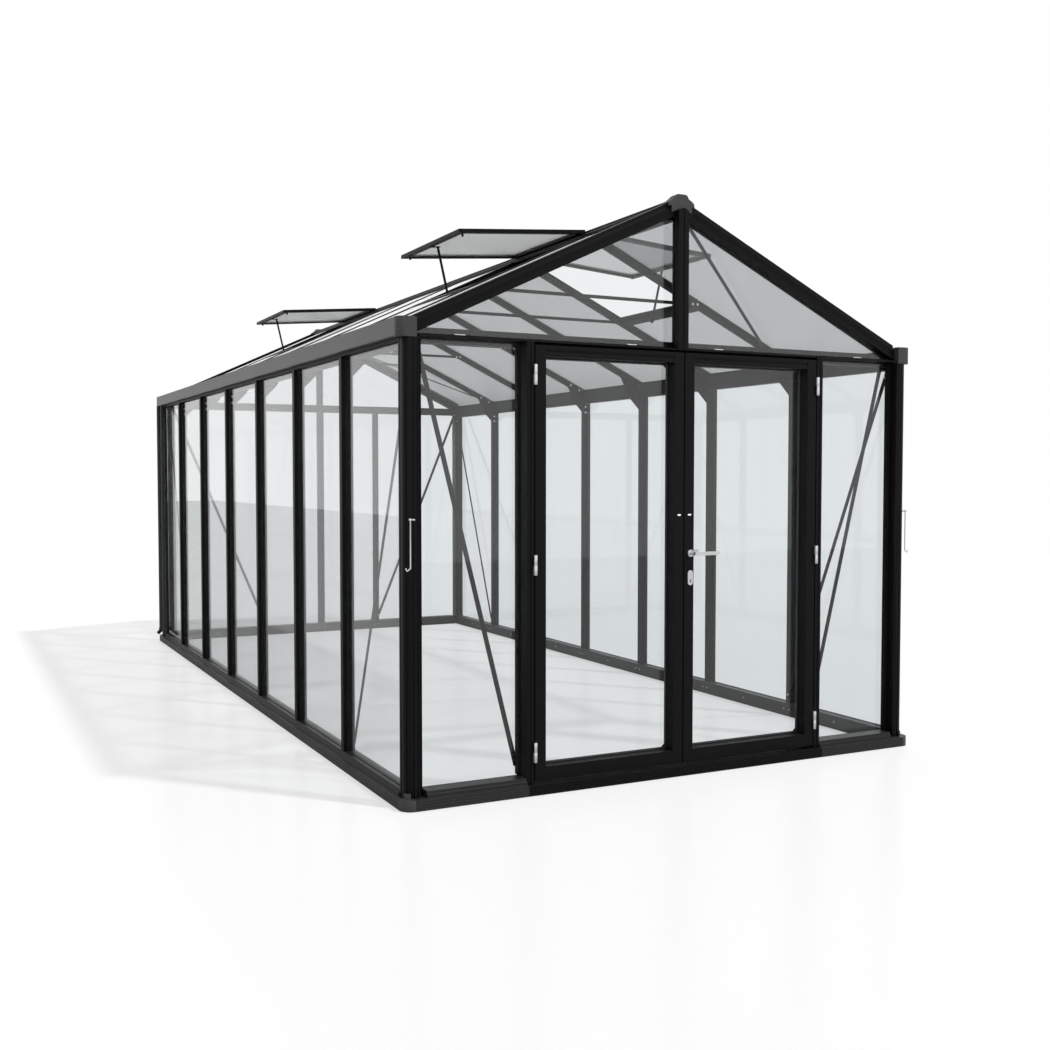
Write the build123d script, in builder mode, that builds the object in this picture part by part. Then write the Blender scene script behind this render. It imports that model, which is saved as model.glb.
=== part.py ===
from build123d import *
import math
import os

os.makedirs("parts", exist_ok=True)

# Driving sizes in mm. X runs across the house, Y from the door gable (-Y) to the back, Z up.

# Plan
bay = 740  # spacing of the side posts and rafters
bay_count = 7
side_face = 1252  # outer face of the side wall bars
gable_inset = 2  # the gable frame lies this far inside the last post line
rail_overhang = 22  # base rail beyond the side wall bars
door_projection = 46  # door leaves stand this far in front of the gable frame
mitre_reach = 200  # the corner cuts reach this far in
over = 1  # how far a cut runs past what it cuts

# Base rail
lip_height = 43
step_height = 56
sill_height = 68
lip_depth = 16
step_depth = 24
side_rail_width = 84
gable_rail_width = 96
rib_heights = [9, 20, 31]
rib_size = 3
cap_corner_radius = 50
plug_height = 20
plug_thickness = 4
plug_half_angle = 27

# Glazing
glass = 4
glass_setback = 21  # from the bars' outer face to the glass
glass_play = 0.3
glass_bite = 8  # how deep a pane sits in its groove
web_width = 8  # between two panes in one bar

# Bars
cap_width = 35
bar_width = 30
bar_depth = 28  # from the glass inwards
gable_bar_depth = 23
back_post_x = 470
back_cap_width = 42
centre_cap_width = 51
gable_post_neck = 16
gable_post_inner_bar = 15
corner_size = 60  # corner column, across the gable
corner_front = 36  # corner column in front of the gable frame
corner_radius = 30
corner_flange = 22
corner_side_flange = 28
flute_radius = 3
flute_inset = 9
column_flute = 4
side_flute = 17

# Eaves
eave_height = 1766
beam_setback = 62  # from the side wall's outer face to the beam's inner face
beam_wall = 9
beam_lip_inset = 2
beam_lip_rise = 19  # above the eave height, as the next three
glass_top_rise = 26
gutter_rise = 33
tie_beam_rise = 14
gutter_fascia = 70
gutter_back = 45
gutter_overhang = 24  # beyond the side wall
gutter_wall = 3
end_cap_drop = 5
end_cap_rise = 1
tie_cap_height = 15
tie_beam_height = 58
hood_height = 5  # ledge on the front tie beam, over the doors
seat = 0.3

# Roof, measured by plumb drops below the plane of the bars' outer caps
ridge_rise = 676  # from the eave height to the apex
roof_edge_rise = 89.3  # from the eave height to the roof over the side wall's face
cap_drop = 20
glass_drop = 25
bar_drop = 68  # ridge and rakes
rafter_drop = 52
rafter_cap_drop = 14
gable_glass_drop = 57
rake_width = 65
rake_step = 9  # the rakes' lower front stands out in equal steps
rake_step_drops = [16, 20, 24]
roof_glass_setback = 30  # from the side wall's face, as the next
roof_cap_setback = 37
ridge_half = 30
ridge_wing = 62
ridge_wing_drop = 4
ridge_peak_rise = 4
ridge_shoulder_rise = 6
ridge_cap_crown = [(0, 10), (19, 19), (28, 19), (35, 10), (49, 8), (60, 5)]  # from the middle, above the roof
ridge_cap_cheek = [(64, -3), (64, -12), (50, -16), (50, -44)]
ridge_cap_skirt = 48
ridge_cap_thickness = 9
ridge_cap_run = 42  # from the cap's back end to its full height
ridge_cap_back_share = 0.35  # of the full height, at the back end

# Vents
sash_hinge = 36
sash_edge = 690
sash_fall = 54  # the free edge lies this much lower than the hinge edge
sash_thickness = 18
sash_bar = 30
sash_play = 2
sash_glass_drop = 7
vent_sill = 600
vent_sill_width = 36
vent_sill_drop = 45
vent_sill_top_drop = 12
vent_sill_lip = 12
stay_top_inset = 49  # from the sash's free edge
stay_foot_inset = 24  # from the sill
stay_foot_drop = 87
stay_radius = 6
knob_radius = 10
vent_bays_right = [1]
vent_bays_left = [1, 5]

# Ties, gussets and braces
collar_half = 605
collar_drop = 42.5  # the tie's underside below the roof, at its ends
collar_depth = 16
collar_thickness = 5
strip = 4
brace_width = 20
gusset_plate = 3
gusset_depth = 76  # below the eave height
gusset_reach_in = 190  # from the side wall's face, as the next
gusset_knee_in = 122
gusset_edge = 5
gusset_lap = 8
gusset_clear = 6
brace_foot = 100
brace_lap = 3
wall_brace_inset = 10
wall_brace_drop = 16
roof_brace_inset = 20

# Doors
leaf_edge = 705  # hinge edge of a leaf
door_gap = 5
leaf_bottom = 51
door_head_gap = 12  # under the tie beam's cap
leaf_depth = 62
stile = 48
top_rail = 43
bottom_rail = 56
leaf_glass_setback = 50
leaf_groove = (17, 30)  # on the top rail's face, below its top
leaf_groove_depth = 4
leaf_gusset = 28
leaf_gusset_thickness = 5
jamb_width = 32
jamb_flange = 8
jamb_pane_bite = 4
hinge_heights = [170, 918, 1670]
knuckle_radius = 7.5
knuckle_height = 80
knuckle_wing = 8
knuckle_gap = 0.5
handle_height = 944
handle_inset = 28.5  # from the leaf's meeting edge
lever_length = 126
lever_width = 15
lever_thickness = 9
lever_neck = 6
lever_reach = 42
rose_radius = 15
rose_thickness = 8
lock_height = 840
lock_size = (26, 64)
lock_thickness = 5
key_slot = (14, 5)
key_drop = 14

# Hold-back hooks
hook_inset = 16  # from the side wall's face
hook_standoff = 18
hook_height = 1107
hook_length = 196
hook_radius = 2.5
hook_ball = 6
hook_pin = 7
hook_bend = 12
hook_toe = 14
hook_tip_out = 20
eye_radius = 3.5
eye_arm_radius = 3

# Downpipes, two at the back left corner
pipe_radius = 13.5
collar_radius = 17
pipe_foot = 86
pipe_collar_height = 20
shoe_length = 34
pipe_insets = [22, 172]  # from the gable frame
pipe_gap = 0.5

# Worked-out places
half_length = bay * bay_count / 2
lines = [-half_length + bay * i for i in range(1, bay_count)]
gable_face = half_length - gable_inset
door_face = gable_face + door_projection
base_x = side_face + rail_overhang
base_y = door_face + rail_overhang
beam_inner_face = side_face - beam_setback
beam_lip_height = eave_height + beam_lip_rise
glass_top_groove = eave_height + glass_top_rise
gutter_bottom = eave_height + gutter_rise
gutter_top = gutter_bottom + gutter_fascia
gutter_inner_top = gutter_bottom + gutter_back
gutter_outer = side_face + gutter_overhang
tie_cap_bottom = gutter_bottom
tie_beam_bottom = eave_height + tie_beam_rise
apex = eave_height + ridge_rise
slope = (ridge_rise - roof_edge_rise) / side_face
side_glass = side_face - glass_setback
gable_glass = gable_face - glass_setback
pane_foot = sill_height - glass_bite
bar_inner = side_glass - glass - glass_play
post_inner = bar_inner - bar_depth
gable_bar_outer = gable_glass + glass_play
gable_bar_inner = gable_glass - glass - glass_play
gable_post_inner = gable_bar_inner - gable_bar_depth
corner_x = side_face - corner_size
corner_y = gable_face + corner_front
flange_x = corner_x - corner_flange
corner_side_end = gable_face - corner_side_flange
corner_web = beam_inner_face + beam_wall
jamb_inner = leaf_edge + door_gap
jamb_outer = jamb_inner + jamb_width
tie_middle = tie_cap_bottom + tie_cap_height / 2
pane_top = tie_middle - web_width / 2 - glass_play
leaf_back = door_face - leaf_depth
leaf_top = tie_cap_bottom - door_head_gap
hinge_x = leaf_edge + door_gap / 2
hinge_y = door_face + knuckle_radius + knuckle_gap
meeting = door_gap / 2
handle_x = meeting + handle_inset
tie_cap_top = tie_cap_bottom + tie_cap_height
tie_beam_top = tie_beam_bottom + tie_beam_height
hood_top = tie_cap_bottom + hood_height
rake_front = gable_face + rake_step
roof_glass_end = side_face - roof_glass_setback
roof_cap_end = side_face - roof_cap_setback
gusset_foot = eave_height - gusset_depth
gusset_reach = side_face - gusset_reach_in
gusset_knee = side_face - gusset_knee_in
hook_x = side_face - hook_inset
pipe_places = [gable_face - inset for inset in pipe_insets]


def roof(x, drop=0):
    """Height of the roof at a distance x from the middle, a plumb drop below the caps' plane."""
    return apex - slope * abs(x) - drop


def along_y(points, start, end):
    """A bar with its outline in XZ, from start to end along Y."""
    with BuildPart() as bar:
        with BuildSketch(Plane.XZ.offset(-start)):
            Polygon(*points, align=None)
        extrude(amount=start - end)
    return bar.part


def along_x(points, start, end):
    """A bar with its outline in YZ, from start to end along X."""
    with BuildPart() as bar:
        with BuildSketch(Plane.YZ.offset(start)):
            Polygon(*points, align=None)
        extrude(amount=end - start)
    return bar.part


def upright(points, bottom, top):
    """A bar with its outline in XY, from bottom to top."""
    with BuildPart() as bar:
        with BuildSketch(Plane.XY.offset(bottom)):
            Polygon(*points, align=None)
        extrude(amount=top - bottom)
    return bar.part


def block(x, y, z):
    """A block between pairs of limits on each axis."""
    return upright([(x[0], y[0]), (x[1], y[0]), (x[1], y[1]), (x[0], y[1])], z[0], z[1])


def roof_slab(x, drops, y):
    """A sloping slab of the right-hand roof between two distances, two drops and two Y places."""
    corners = [(x[0], roof(x[0], drops[1])), (x[1], roof(x[1], drops[1]))]
    corners += [(x[1], roof(x[1], drops[0])), (x[0], roof(x[0], drops[0]))]
    return along_y(corners, y[0], y[1])


def strip_between(start, end, width):
    """Corners of a flat strip between two points of its own plane."""
    run = math.hypot(end[0] - start[0], end[1] - start[1])
    side_u = -(end[1] - start[1]) / run * width / 2
    side_v = (end[0] - start[0]) / run * width / 2
    return [
        (start[0] + side_u, start[1] + side_v),
        (end[0] + side_u, end[1] + side_v),
        (end[0] - side_u, end[1] - side_v),
        (start[0] - side_u, start[1] - side_v),
    ]


def rod(start, end, radius):
    """A round rod between two points."""
    run = Vector(*end) - Vector(*start)
    with BuildPart() as bar:
        with BuildSketch(Plane(origin=start, z_dir=run)):
            Circle(radius)
        extrude(amount=run.length)
    return bar.part


def save(piece, name):
    """Labels a finished piece and writes its file."""
    piece.part.label = name
    export_step(piece.part, f"parts/{name}.step")


def rail_outline(width, glass_depth):
    """Base rail, as depth from its outer face and height, with ribs and the glazing groove."""
    outline = [(0, 0)]
    for height in rib_heights:
        outline += [(0, height), (rib_size, height), (rib_size, height + rib_size), (0, height + rib_size)]
    groove_out = glass_depth - glass_play
    groove_in = glass_depth + glass + glass_play
    outline += [(0, lip_height), (lip_depth, lip_height), (lip_depth, step_height)]
    outline += [(step_depth, step_height), (step_depth, sill_height), (groove_out, sill_height)]
    outline += [(groove_out, pane_foot), (groove_in, pane_foot), (groove_in, sill_height)]
    outline += [(width, sill_height), (width, 0)]
    return outline


# Base rails, mitred at the corners, with their upstands stopped at the corner columns
cut_out = (base_x + over, base_y + over)
cut_in = (cut_out[0] - mitre_reach, cut_out[1] - mitre_reach)
side_cut = [cut_out, cut_in, (cut_in[0], cut_out[1])]
gable_cut = [cut_out, cut_in, (cut_out[0], cut_in[1])]

with BuildPart() as base_rail_right:
    side_profile = rail_outline(side_rail_width, base_x - side_glass)
    add(along_y([(base_x - d, z) for d, z in side_profile], -base_y, base_y))
    for end in (-1, 1):
        add(upright([(x, end * y) for x, y in side_cut], -over, sill_height + over), mode=Mode.SUBTRACT)
        upper = (end * (corner_side_end - glass_play), end * (base_y + over))
        width = (base_x - side_rail_width - over, base_x)
        add(block(width, upper, (lip_height, sill_height + over)), mode=Mode.SUBTRACT)
        notch = (end * (base_y - cap_corner_radius), end * (base_y + over))
        corner = (base_x - cap_corner_radius, base_x + over)
        add(block(corner, notch, (-over, sill_height)), mode=Mode.SUBTRACT)
save(base_rail_right, "base_rail_right")

with BuildPart() as base_rail_left:
    mirror(base_rail_right.part, about=Plane.YZ)
save(base_rail_left, "base_rail_left")

gable_profile = rail_outline(gable_rail_width, base_y - gable_glass)


def gable_rail(start, end):
    """A stretch of the back base rail, with its right end cut to meet the side rail."""
    with BuildPart() as rail:
        add(along_x([(base_y - d, z) for d, z in gable_profile], start, end))
        add(upright(gable_cut, -over, sill_height + over), mode=Mode.SUBTRACT)
        upper = (flange_x - glass_play, base_x + over)
        width = (base_y - gable_rail_width - over, base_y)
        add(block(upper, width, (lip_height, sill_height + over)), mode=Mode.SUBTRACT)
        corner = (base_x - cap_corner_radius, base_x + over)
        notch = (base_y - cap_corner_radius, base_y + over)
        add(block(corner, notch, (-over, sill_height)), mode=Mode.SUBTRACT)
    return rail.part


with BuildPart() as base_rail_back:
    add(gable_rail(0, base_x))
    mirror(about=Plane.YZ)
save(base_rail_back, "base_rail_back")

with BuildPart() as base_rail_front:
    mirror(gable_rail(jamb_outer, base_x), about=Plane.XZ)
    mirror(about=Plane.YZ)
save(base_rail_front, "base_rail_front")

# The low stretch of the front rail that the doors swing over
with BuildPart() as door_threshold:
    low_profile = [(d, z) for d, z in gable_profile if z <= lip_height and d < lip_depth]
    low_profile += [(gable_rail_width, lip_height), (gable_rail_width, 0)]
    add(along_x([(d - base_y, z) for d, z in low_profile], -jamb_outer, jamb_outer))
save(door_threshold, "door_threshold")

# Rounded caps on the base corners, each with the plug at the foot of its column
with BuildPart() as base_corner_caps:
    with BuildSketch():
        with Locations((base_x - cap_corner_radius, base_y - cap_corner_radius)):
            Rectangle(cap_corner_radius, cap_corner_radius, align=(Align.MIN, Align.MIN))
            Circle(cap_corner_radius, mode=Mode.INTERSECT)
    extrude(amount=lip_height)
    with BuildSketch(Plane.XY.offset(lip_height)):
        with Locations((side_face - corner_radius, corner_y - corner_radius)):
            Circle(corner_radius + glass_play + plug_thickness)
            Circle(corner_radius + glass_play, mode=Mode.SUBTRACT)
            wide = 2 * corner_radius
            high = wide * math.tan(math.radians(plug_half_angle))
            with Locations(Location((0, 0), 45)):
                Polygon((0, 0), (wide, high), (wide, -high), align=None, mode=Mode.INTERSECT)
    extrude(amount=plug_height)
    mirror(about=Plane.XZ)
    mirror(about=Plane.YZ)
save(base_corner_caps, "base_corner_caps")


def corner_post():
    """The back right corner post: fluted round column, flanges over the panes, inner box."""
    round_x = side_face - corner_radius
    round_y = corner_y - corner_radius
    with BuildPart() as post:
        with BuildSketch(Plane.XY.offset(lip_height)):
            with BuildLine():
                Polyline((side_face, corner_side_end), (side_face, round_y))
                RadiusArc((side_face, round_y), (round_x, corner_y), -corner_radius)
                Polyline((round_x, corner_y), (corner_x, corner_y), (corner_x, gable_face),
                         (flange_x, gable_face), (flange_x, gable_bar_outer),
                         (side_glass + glass_play, gable_bar_outer),
                         (side_glass + glass_play, corner_side_end), (side_face, corner_side_end))
            make_face()
            turn = math.sqrt(0.5) * corner_radius
            flutes = [(side_face, corner_side_end + side_flute), (round_x + turn, round_y + turn),
                      (round_x - column_flute, corner_y), (corner_x + flute_inset, corner_y),
                      (flange_x + flute_inset, gable_face)]
            with Locations(*flutes):
                Circle(flute_radius, mode=Mode.SUBTRACT)
        extrude(amount=gutter_bottom - end_cap_drop - lip_height)
        inside = (sill_height, eave_height - seat)
        add(block((post_inner, bar_inner), (gable_post_inner, gable_bar_inner), inside))
        box_y = (gable_bar_inner - glass, gable_bar_outer + glass)
        add(block((corner_web, side_glass + bar_width / 3), box_y, inside))
    return post.part


with BuildPart() as corner_posts:
    add(corner_post())
    mirror(about=Plane.XZ)
    mirror(about=Plane.YZ)
save(corner_posts, "corner_posts")

# Side wall posts: outer cap, web between the panes, inner bar
with BuildPart() as wall_posts_right:
    for y in lines:
        add(block((side_glass + glass_play, side_face), (y - cap_width / 2, y + cap_width / 2),
                  (sill_height, beam_lip_height - seat)))
        add(block((bar_inner, side_glass + glass_play), (y - web_width / 2, y + web_width / 2),
                  (sill_height, eave_height - seat)))
        add(block((post_inner, bar_inner), (y - bar_width / 2, y + bar_width / 2),
                  (sill_height, eave_height - seat)))
save(wall_posts_right, "wall_posts_right")
with BuildPart() as wall_posts_left:
    mirror(wall_posts_right.part, about=Plane.YZ)
save(wall_posts_left, "wall_posts_left")

# Eave beams: a web under the roof glass and a flange that holds the wall panes and the gutter
beam_end = gable_post_inner - seat
with BuildPart() as eave_beam_right:
    web_outer = beam_inner_face + beam_wall
    flange_top = gutter_bottom - seat
    add(along_y([(beam_inner_face, eave_height), (web_outer, eave_height),
                 (web_outer, roof(web_outer, glass_drop)),
                 (beam_inner_face, roof(beam_inner_face, glass_drop))], -beam_end, beam_end))
    flange_end = corner_side_end - seat
    lip_outer = side_face - beam_lip_inset
    add(along_y([(web_outer, eave_height), (bar_inner, eave_height), (bar_inner, glass_top_groove),
                 (side_glass + glass_play, glass_top_groove), (side_glass + glass_play, beam_lip_height),
                 (lip_outer, beam_lip_height), (lip_outer, flange_top), (web_outer, flange_top)],
                -flange_end, flange_end))
save(eave_beam_right, "eave_beam_right")
with BuildPart() as eave_beam_left:
    mirror(eave_beam_right.part, about=Plane.YZ)
save(eave_beam_left, "eave_beam_left")

# Gutters: an open trough whose outer wall stands up as a fascia
gutter_inner = beam_inner_face + beam_wall + seat
with BuildPart() as gutter_right:
    floor_top = gutter_bottom + gutter_wall
    add(along_y([(gutter_inner, gutter_bottom), (gutter_outer, gutter_bottom), (gutter_outer, gutter_top),
                 (gutter_outer - gutter_wall, gutter_top), (gutter_outer - gutter_wall, floor_top),
                 (gutter_inner + gutter_wall, floor_top), (gutter_inner + gutter_wall, gutter_inner_top),
                 (gutter_inner, gutter_inner_top)], -gable_face, gable_face))
save(gutter_right, "gutter_right")
with BuildPart() as gutter_left:
    mirror(gutter_right.part, about=Plane.YZ)
save(gutter_left, "gutter_left")

with BuildPart() as gutter_end_caps:
    cap_bottom = gutter_bottom - end_cap_drop + seat
    with BuildSketch(Plane.XY.offset(cap_bottom)):
        with Locations((gutter_inner, gable_face + seat)):
            Rectangle(gutter_outer - gutter_inner, corner_front - seat, align=(Align.MIN, Align.MIN))
    extrude(amount=gutter_top + end_cap_rise - cap_bottom)
    outer_edges = edges().filter_by(Axis.Z).sort_by(Axis.X)[-2:]
    fillet(outer_edges.sort_by(Axis.Y)[-1], corner_radius)
    mirror(about=Plane.XZ)
    mirror(about=Plane.YZ)
save(gutter_end_caps, "gutter_end_caps")

# Tie beams across both gables: outer cap, web over and under the panes, inner beam cut by the roof
def tie_beam():
    """The back tie beam."""
    low_end = roof(beam_inner_face, bar_drop) - seat
    cut_x = (apex - bar_drop - seat - tie_beam_top) / slope
    end_x = beam_inner_face - seat
    with BuildPart() as beam:
        add(block((-end_x, end_x), (gable_bar_outer, gable_face), (tie_cap_bottom, tie_cap_top)))
        add(block((-end_x, end_x), (gable_bar_inner, gable_bar_outer),
                  (tie_middle - web_width / 2, tie_middle + web_width / 2)))
        add(along_y([(-end_x, tie_beam_bottom), (end_x, tie_beam_bottom), (end_x, low_end),
                     (cut_x, tie_beam_top), (-cut_x, tie_beam_top), (-end_x, low_end)],
                    gable_post_inner, gable_bar_inner))
    return beam.part


with BuildPart() as tie_beam_back:
    add(tie_beam())
save(tie_beam_back, "tie_beam_back")
with BuildPart() as tie_beam_front:
    mirror(tie_beam(), about=Plane.XZ)
    hood_end = beam_inner_face - seat
    add(block((-hood_end, hood_end), (-corner_y, -gable_face), (tie_cap_bottom, hood_top)))
save(tie_beam_front, "tie_beam_front")


def rake():
    """The back right rake: a cap over the roof glass, a stepped front, and a bead behind the gable glass."""
    end_x = beam_inner_face + beam_wall
    with BuildPart() as bar:
        add(roof_slab((0, end_x), (0, cap_drop), (gable_face - rake_width, gable_face)))
        add(roof_slab((0, end_x), (cap_drop, bar_drop), (gable_bar_outer, gable_face)))
        for number, drop in enumerate(rake_step_drops, 1):
            front = gable_face + rake_step * number / len(rake_step_drops)
            add(roof_slab((0, end_x), (drop, bar_drop), (gable_face, front)))
        add(roof_slab((0, end_x), (glass_drop, gable_glass_drop), (gable_post_inner, gable_bar_outer)))
        add(roof_slab((0, end_x), (gable_glass_drop, bar_drop), (gable_post_inner, gable_bar_inner)))
    return bar.part


back_right_rake = rake()
with BuildPart() as rake_back_right:
    add(back_right_rake)
save(rake_back_right, "rake_back_right")
with BuildPart() as rake_back_left:
    mirror(back_right_rake, about=Plane.YZ)
save(rake_back_left, "rake_back_left")
with BuildPart() as rake_front_right:
    mirror(back_right_rake, about=Plane.XZ)
save(rake_front_right, "rake_front_right")
with BuildPart() as rake_front_left:
    mirror(rake_front_right.part, about=Plane.YZ)
save(rake_front_left, "rake_front_left")

# Ridge beam with a wing over the glass on each side
with BuildPart() as ridge_beam:
    shoulder = roof(ridge_half) + ridge_shoulder_rise
    half = [(0, apex + ridge_peak_rise), (ridge_half, shoulder)]
    half += [(x, roof(x, drop)) for x, drop in ((ridge_half, ridge_wing_drop), (ridge_wing, ridge_wing_drop),
                                                (ridge_wing, cap_drop), (ridge_half, cap_drop),
                                                (ridge_half, bar_drop))]
    outline = half + [(-x, z) for x, z in reversed(half[1:])]
    ridge_end = gable_face - rake_width - seat
    add(along_y(outline, -ridge_end, ridge_end))
save(ridge_beam, "ridge_beam")


# Caps that close the ridge over the ends of the rakes
def crown_outline(share):
    """Section of the cap over the rakes, at a share of its full height."""
    outer = [(x, roof(x) + share * rise) for x, rise in ridge_cap_crown]
    inner = [(x, roof(x) + seat) for x in (ridge_cap_crown[-1][0], 0)]
    half = outer + inner
    return half + [(-x, z) for x, z in reversed(half[1:-1])]


with BuildPart() as ridge_end_caps:
    crown_back = gable_face - rake_width
    plate_back = rake_front + seat
    for place, share in ((crown_back, ridge_cap_back_share), (crown_back + ridge_cap_run, 1)):
        with BuildSketch(Plane.XZ.offset(-place)):
            Polygon(*crown_outline(share), align=None)
    loft()
    add(along_y(crown_outline(1), crown_back + ridge_cap_run, plate_back))
    half = [(x, roof(x) + rise) for x, rise in ridge_cap_crown + ridge_cap_cheek]
    half.append((0, roof(0, ridge_cap_skirt)))
    plate = half + [(-x, z) for x, z in reversed(half[1:-1])]
    add(along_y(plate, plate_back, plate_back + ridge_cap_thickness))
    mirror(about=Plane.XZ)
save(ridge_end_caps, "ridge_end_caps")

# Rafters: outer cap, web between the panes, inner bar
with BuildPart() as roof_bars_right:
    for y in lines:
        add(roof_slab((ridge_wing + seat, roof_cap_end), (rafter_cap_drop, cap_drop),
                      (y - cap_width / 2, y + cap_width / 2)))
        add(roof_slab((ridge_half + seat, roof_cap_end), (cap_drop + seat, glass_drop),
                      (y - web_width / 2, y + web_width / 2)))
        add(roof_slab((ridge_wing + seat, roof_cap_end), (cap_drop, glass_drop),
                      (y - web_width / 2, y + web_width / 2)))
        add(roof_slab((ridge_half + seat, beam_inner_face - seat), (glass_drop, rafter_drop),
                      (y - bar_width / 2, y + bar_width / 2)))
save(roof_bars_right, "roof_bars_right")
with BuildPart() as roof_bars_left:
    mirror(roof_bars_right.part, about=Plane.YZ)
save(roof_bars_left, "roof_bars_left")


cap_foot = tie_cap_top + seat
bar_foot = tie_beam_top + seat
with BuildPart() as gable_post_back:
    half_cap = centre_cap_width / 2
    top = roof(half_cap, bar_drop) - seat
    add(block((-half_cap, half_cap), (gable_bar_outer, gable_face), (cap_foot, top)))
    add(block((-web_width / 2, web_width / 2), (gable_bar_inner, gable_bar_outer), (cap_foot, top)))
    add(block((-bar_width / 2, bar_width / 2), (gable_post_inner, gable_bar_inner), (bar_foot, top)))
save(gable_post_back, "gable_post_back")

# The front gable's post: a neck at the panes, and a fluted box on the hood, in front of the rakes
with BuildPart() as gable_post_front:
    half_neck = gable_post_neck / 2
    top = roof(half_neck, bar_drop) - seat
    box_back = rake_front + seat
    box_drop = ridge_cap_skirt + seat
    box_side = roof(half_cap, box_drop)
    box_foot = hood_top + seat
    box = [(-half_cap, box_foot), (half_cap, box_foot), (half_cap, box_side), (0, roof(0, box_drop)),
           (-half_cap, box_side)]
    add(along_y(box, -corner_y, -box_back))
    add(block((-flute_radius, flute_radius), (-corner_y, flute_radius - corner_y), (box_foot, apex)),
        mode=Mode.SUBTRACT)
    add(block((-half_neck, half_neck), (-box_back, -gable_bar_outer), (cap_foot, top)))
    add(block((-web_width / 2, web_width / 2), (-gable_bar_outer, -gable_bar_inner), (cap_foot, top)))
    add(block((-half_neck, half_neck), (-gable_bar_inner, gable_post_inner_bar - gable_bar_inner),
              (bar_foot, top)))
save(gable_post_front, "gable_post_front")

with BuildPart() as back_posts:
    for x, width in ((-back_post_x, back_cap_width), (0, centre_cap_width), (back_post_x, back_cap_width)):
        add(block((x - width / 2, x + width / 2), (gable_bar_outer, gable_face),
                  (sill_height, tie_cap_bottom - seat)))
        add(block((x - web_width / 2, x + web_width / 2), (gable_bar_inner, gable_bar_outer),
                  (sill_height, tie_cap_bottom - seat)))
        add(block((x - bar_width / 2, x + bar_width / 2), (gable_post_inner, gable_bar_inner),
                  (sill_height, tie_beam_bottom - seat)))
save(back_posts, "back_posts")

# Door jambs
with BuildPart() as door_jambs:
    add(block((jamb_inner, jamb_outer), (-door_face, -gable_bar_outer), (lip_height, tie_cap_bottom - seat)))
    add(block((jamb_inner, jamb_outer - jamb_pane_bite), (-gable_bar_outer, -gable_bar_inner),
              (lip_height, tie_beam_bottom - seat)))
    inside = (-gable_bar_inner, -gable_post_inner)
    add(block((jamb_inner, jamb_outer), inside, (lip_height, tie_beam_bottom - seat)))
    add(block((jamb_outer, jamb_outer + jamb_flange), inside, (sill_height, tie_beam_bottom - seat)))
    flute_x = (jamb_inner + jamb_outer) / 2
    add(block((flute_x - flute_radius, flute_x + flute_radius), (-door_face, flute_radius - door_face),
              (lip_height, tie_cap_bottom)), mode=Mode.SUBTRACT)
    mirror(about=Plane.YZ)
save(door_jambs, "door_jambs")

# Wall panes
with BuildPart() as glass_right:
    side_clear = web_width / 2 + glass_play
    first = -(gable_bar_inner - glass - glass_play)
    starts = [first] + [y + side_clear for y in lines]
    ends = [y - side_clear for y in lines] + [-first]
    for start, end in zip(starts, ends):
        add(block((side_glass - glass, side_glass), (start, end), (pane_foot, glass_top_groove - seat)))
save(glass_right, "glass_right")
with BuildPart() as glass_left:
    mirror(glass_right.part, about=Plane.YZ)
save(glass_left, "glass_left")

with BuildPart() as glass_front:
    add(block((jamb_outer - jamb_pane_bite + glass_play, corner_web - glass_play),
              (-gable_glass, glass - gable_glass), (pane_foot, pane_top)))
    mirror(about=Plane.YZ)
save(glass_front, "glass_front")

with BuildPart() as glass_back:
    for pane_width in ((side_clear, back_post_x - side_clear),
                       (back_post_x + side_clear, corner_web - glass_play)):
        add(block(pane_width, (gable_glass - glass, gable_glass), (pane_foot, pane_top)))
    mirror(about=Plane.YZ)
save(glass_back, "glass_back")

# Gable triangles
gable_pane_bottom = tie_middle + web_width / 2 + glass_play
gable_pane_drop = gable_glass_drop + glass_play
gable_pane_end = beam_inner_face - seat
with BuildPart() as gable_panes:
    add(along_y([(side_clear, gable_pane_bottom), (gable_pane_end, gable_pane_bottom),
                 (gable_pane_end, roof(gable_pane_end, gable_pane_drop)),
                 (side_clear, roof(side_clear, gable_pane_drop))], gable_glass - glass, gable_glass))
    mirror(about=Plane.YZ)
    mirror(about=Plane.XZ)
save(gable_panes, "gable_panes")

pane_drops = (cap_drop + glass_play, glass_drop - glass_play)


def roof_panes(vent_bays):
    """Panes of the right-hand roof; a bay with a vent has a short pane below the vent's sill."""
    with BuildPart() as panes:
        for number, (start, end) in enumerate(zip(starts, ends)):
            upper = vent_sill + vent_sill_width - vent_sill_lip if number in vent_bays else ridge_half
            add(roof_slab((upper + glass_play, roof_glass_end), pane_drops, (start, end)))
    return panes.part


with BuildPart() as roof_glass_right:
    add(roof_panes(vent_bays_right))
save(roof_glass_right, "roof_glass_right")
with BuildPart() as roof_glass_left:
    mirror(roof_panes(vent_bays_left), about=Plane.YZ)
save(roof_glass_left, "roof_glass_left")


def in_vent_bays(piece):
    """A piece in every bay with a vent; piece() builds it in the right-hand roof between two rafter lines."""
    with BuildPart() as pieces:
        for number in vent_bays_right:
            add(piece(-half_length + bay * number, -half_length + bay * (number + 1)))
        for number in vent_bays_left:
            mirror(piece(-half_length + bay * number, -half_length + bay * (number + 1)), about=Plane.YZ)
    return pieces


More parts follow.
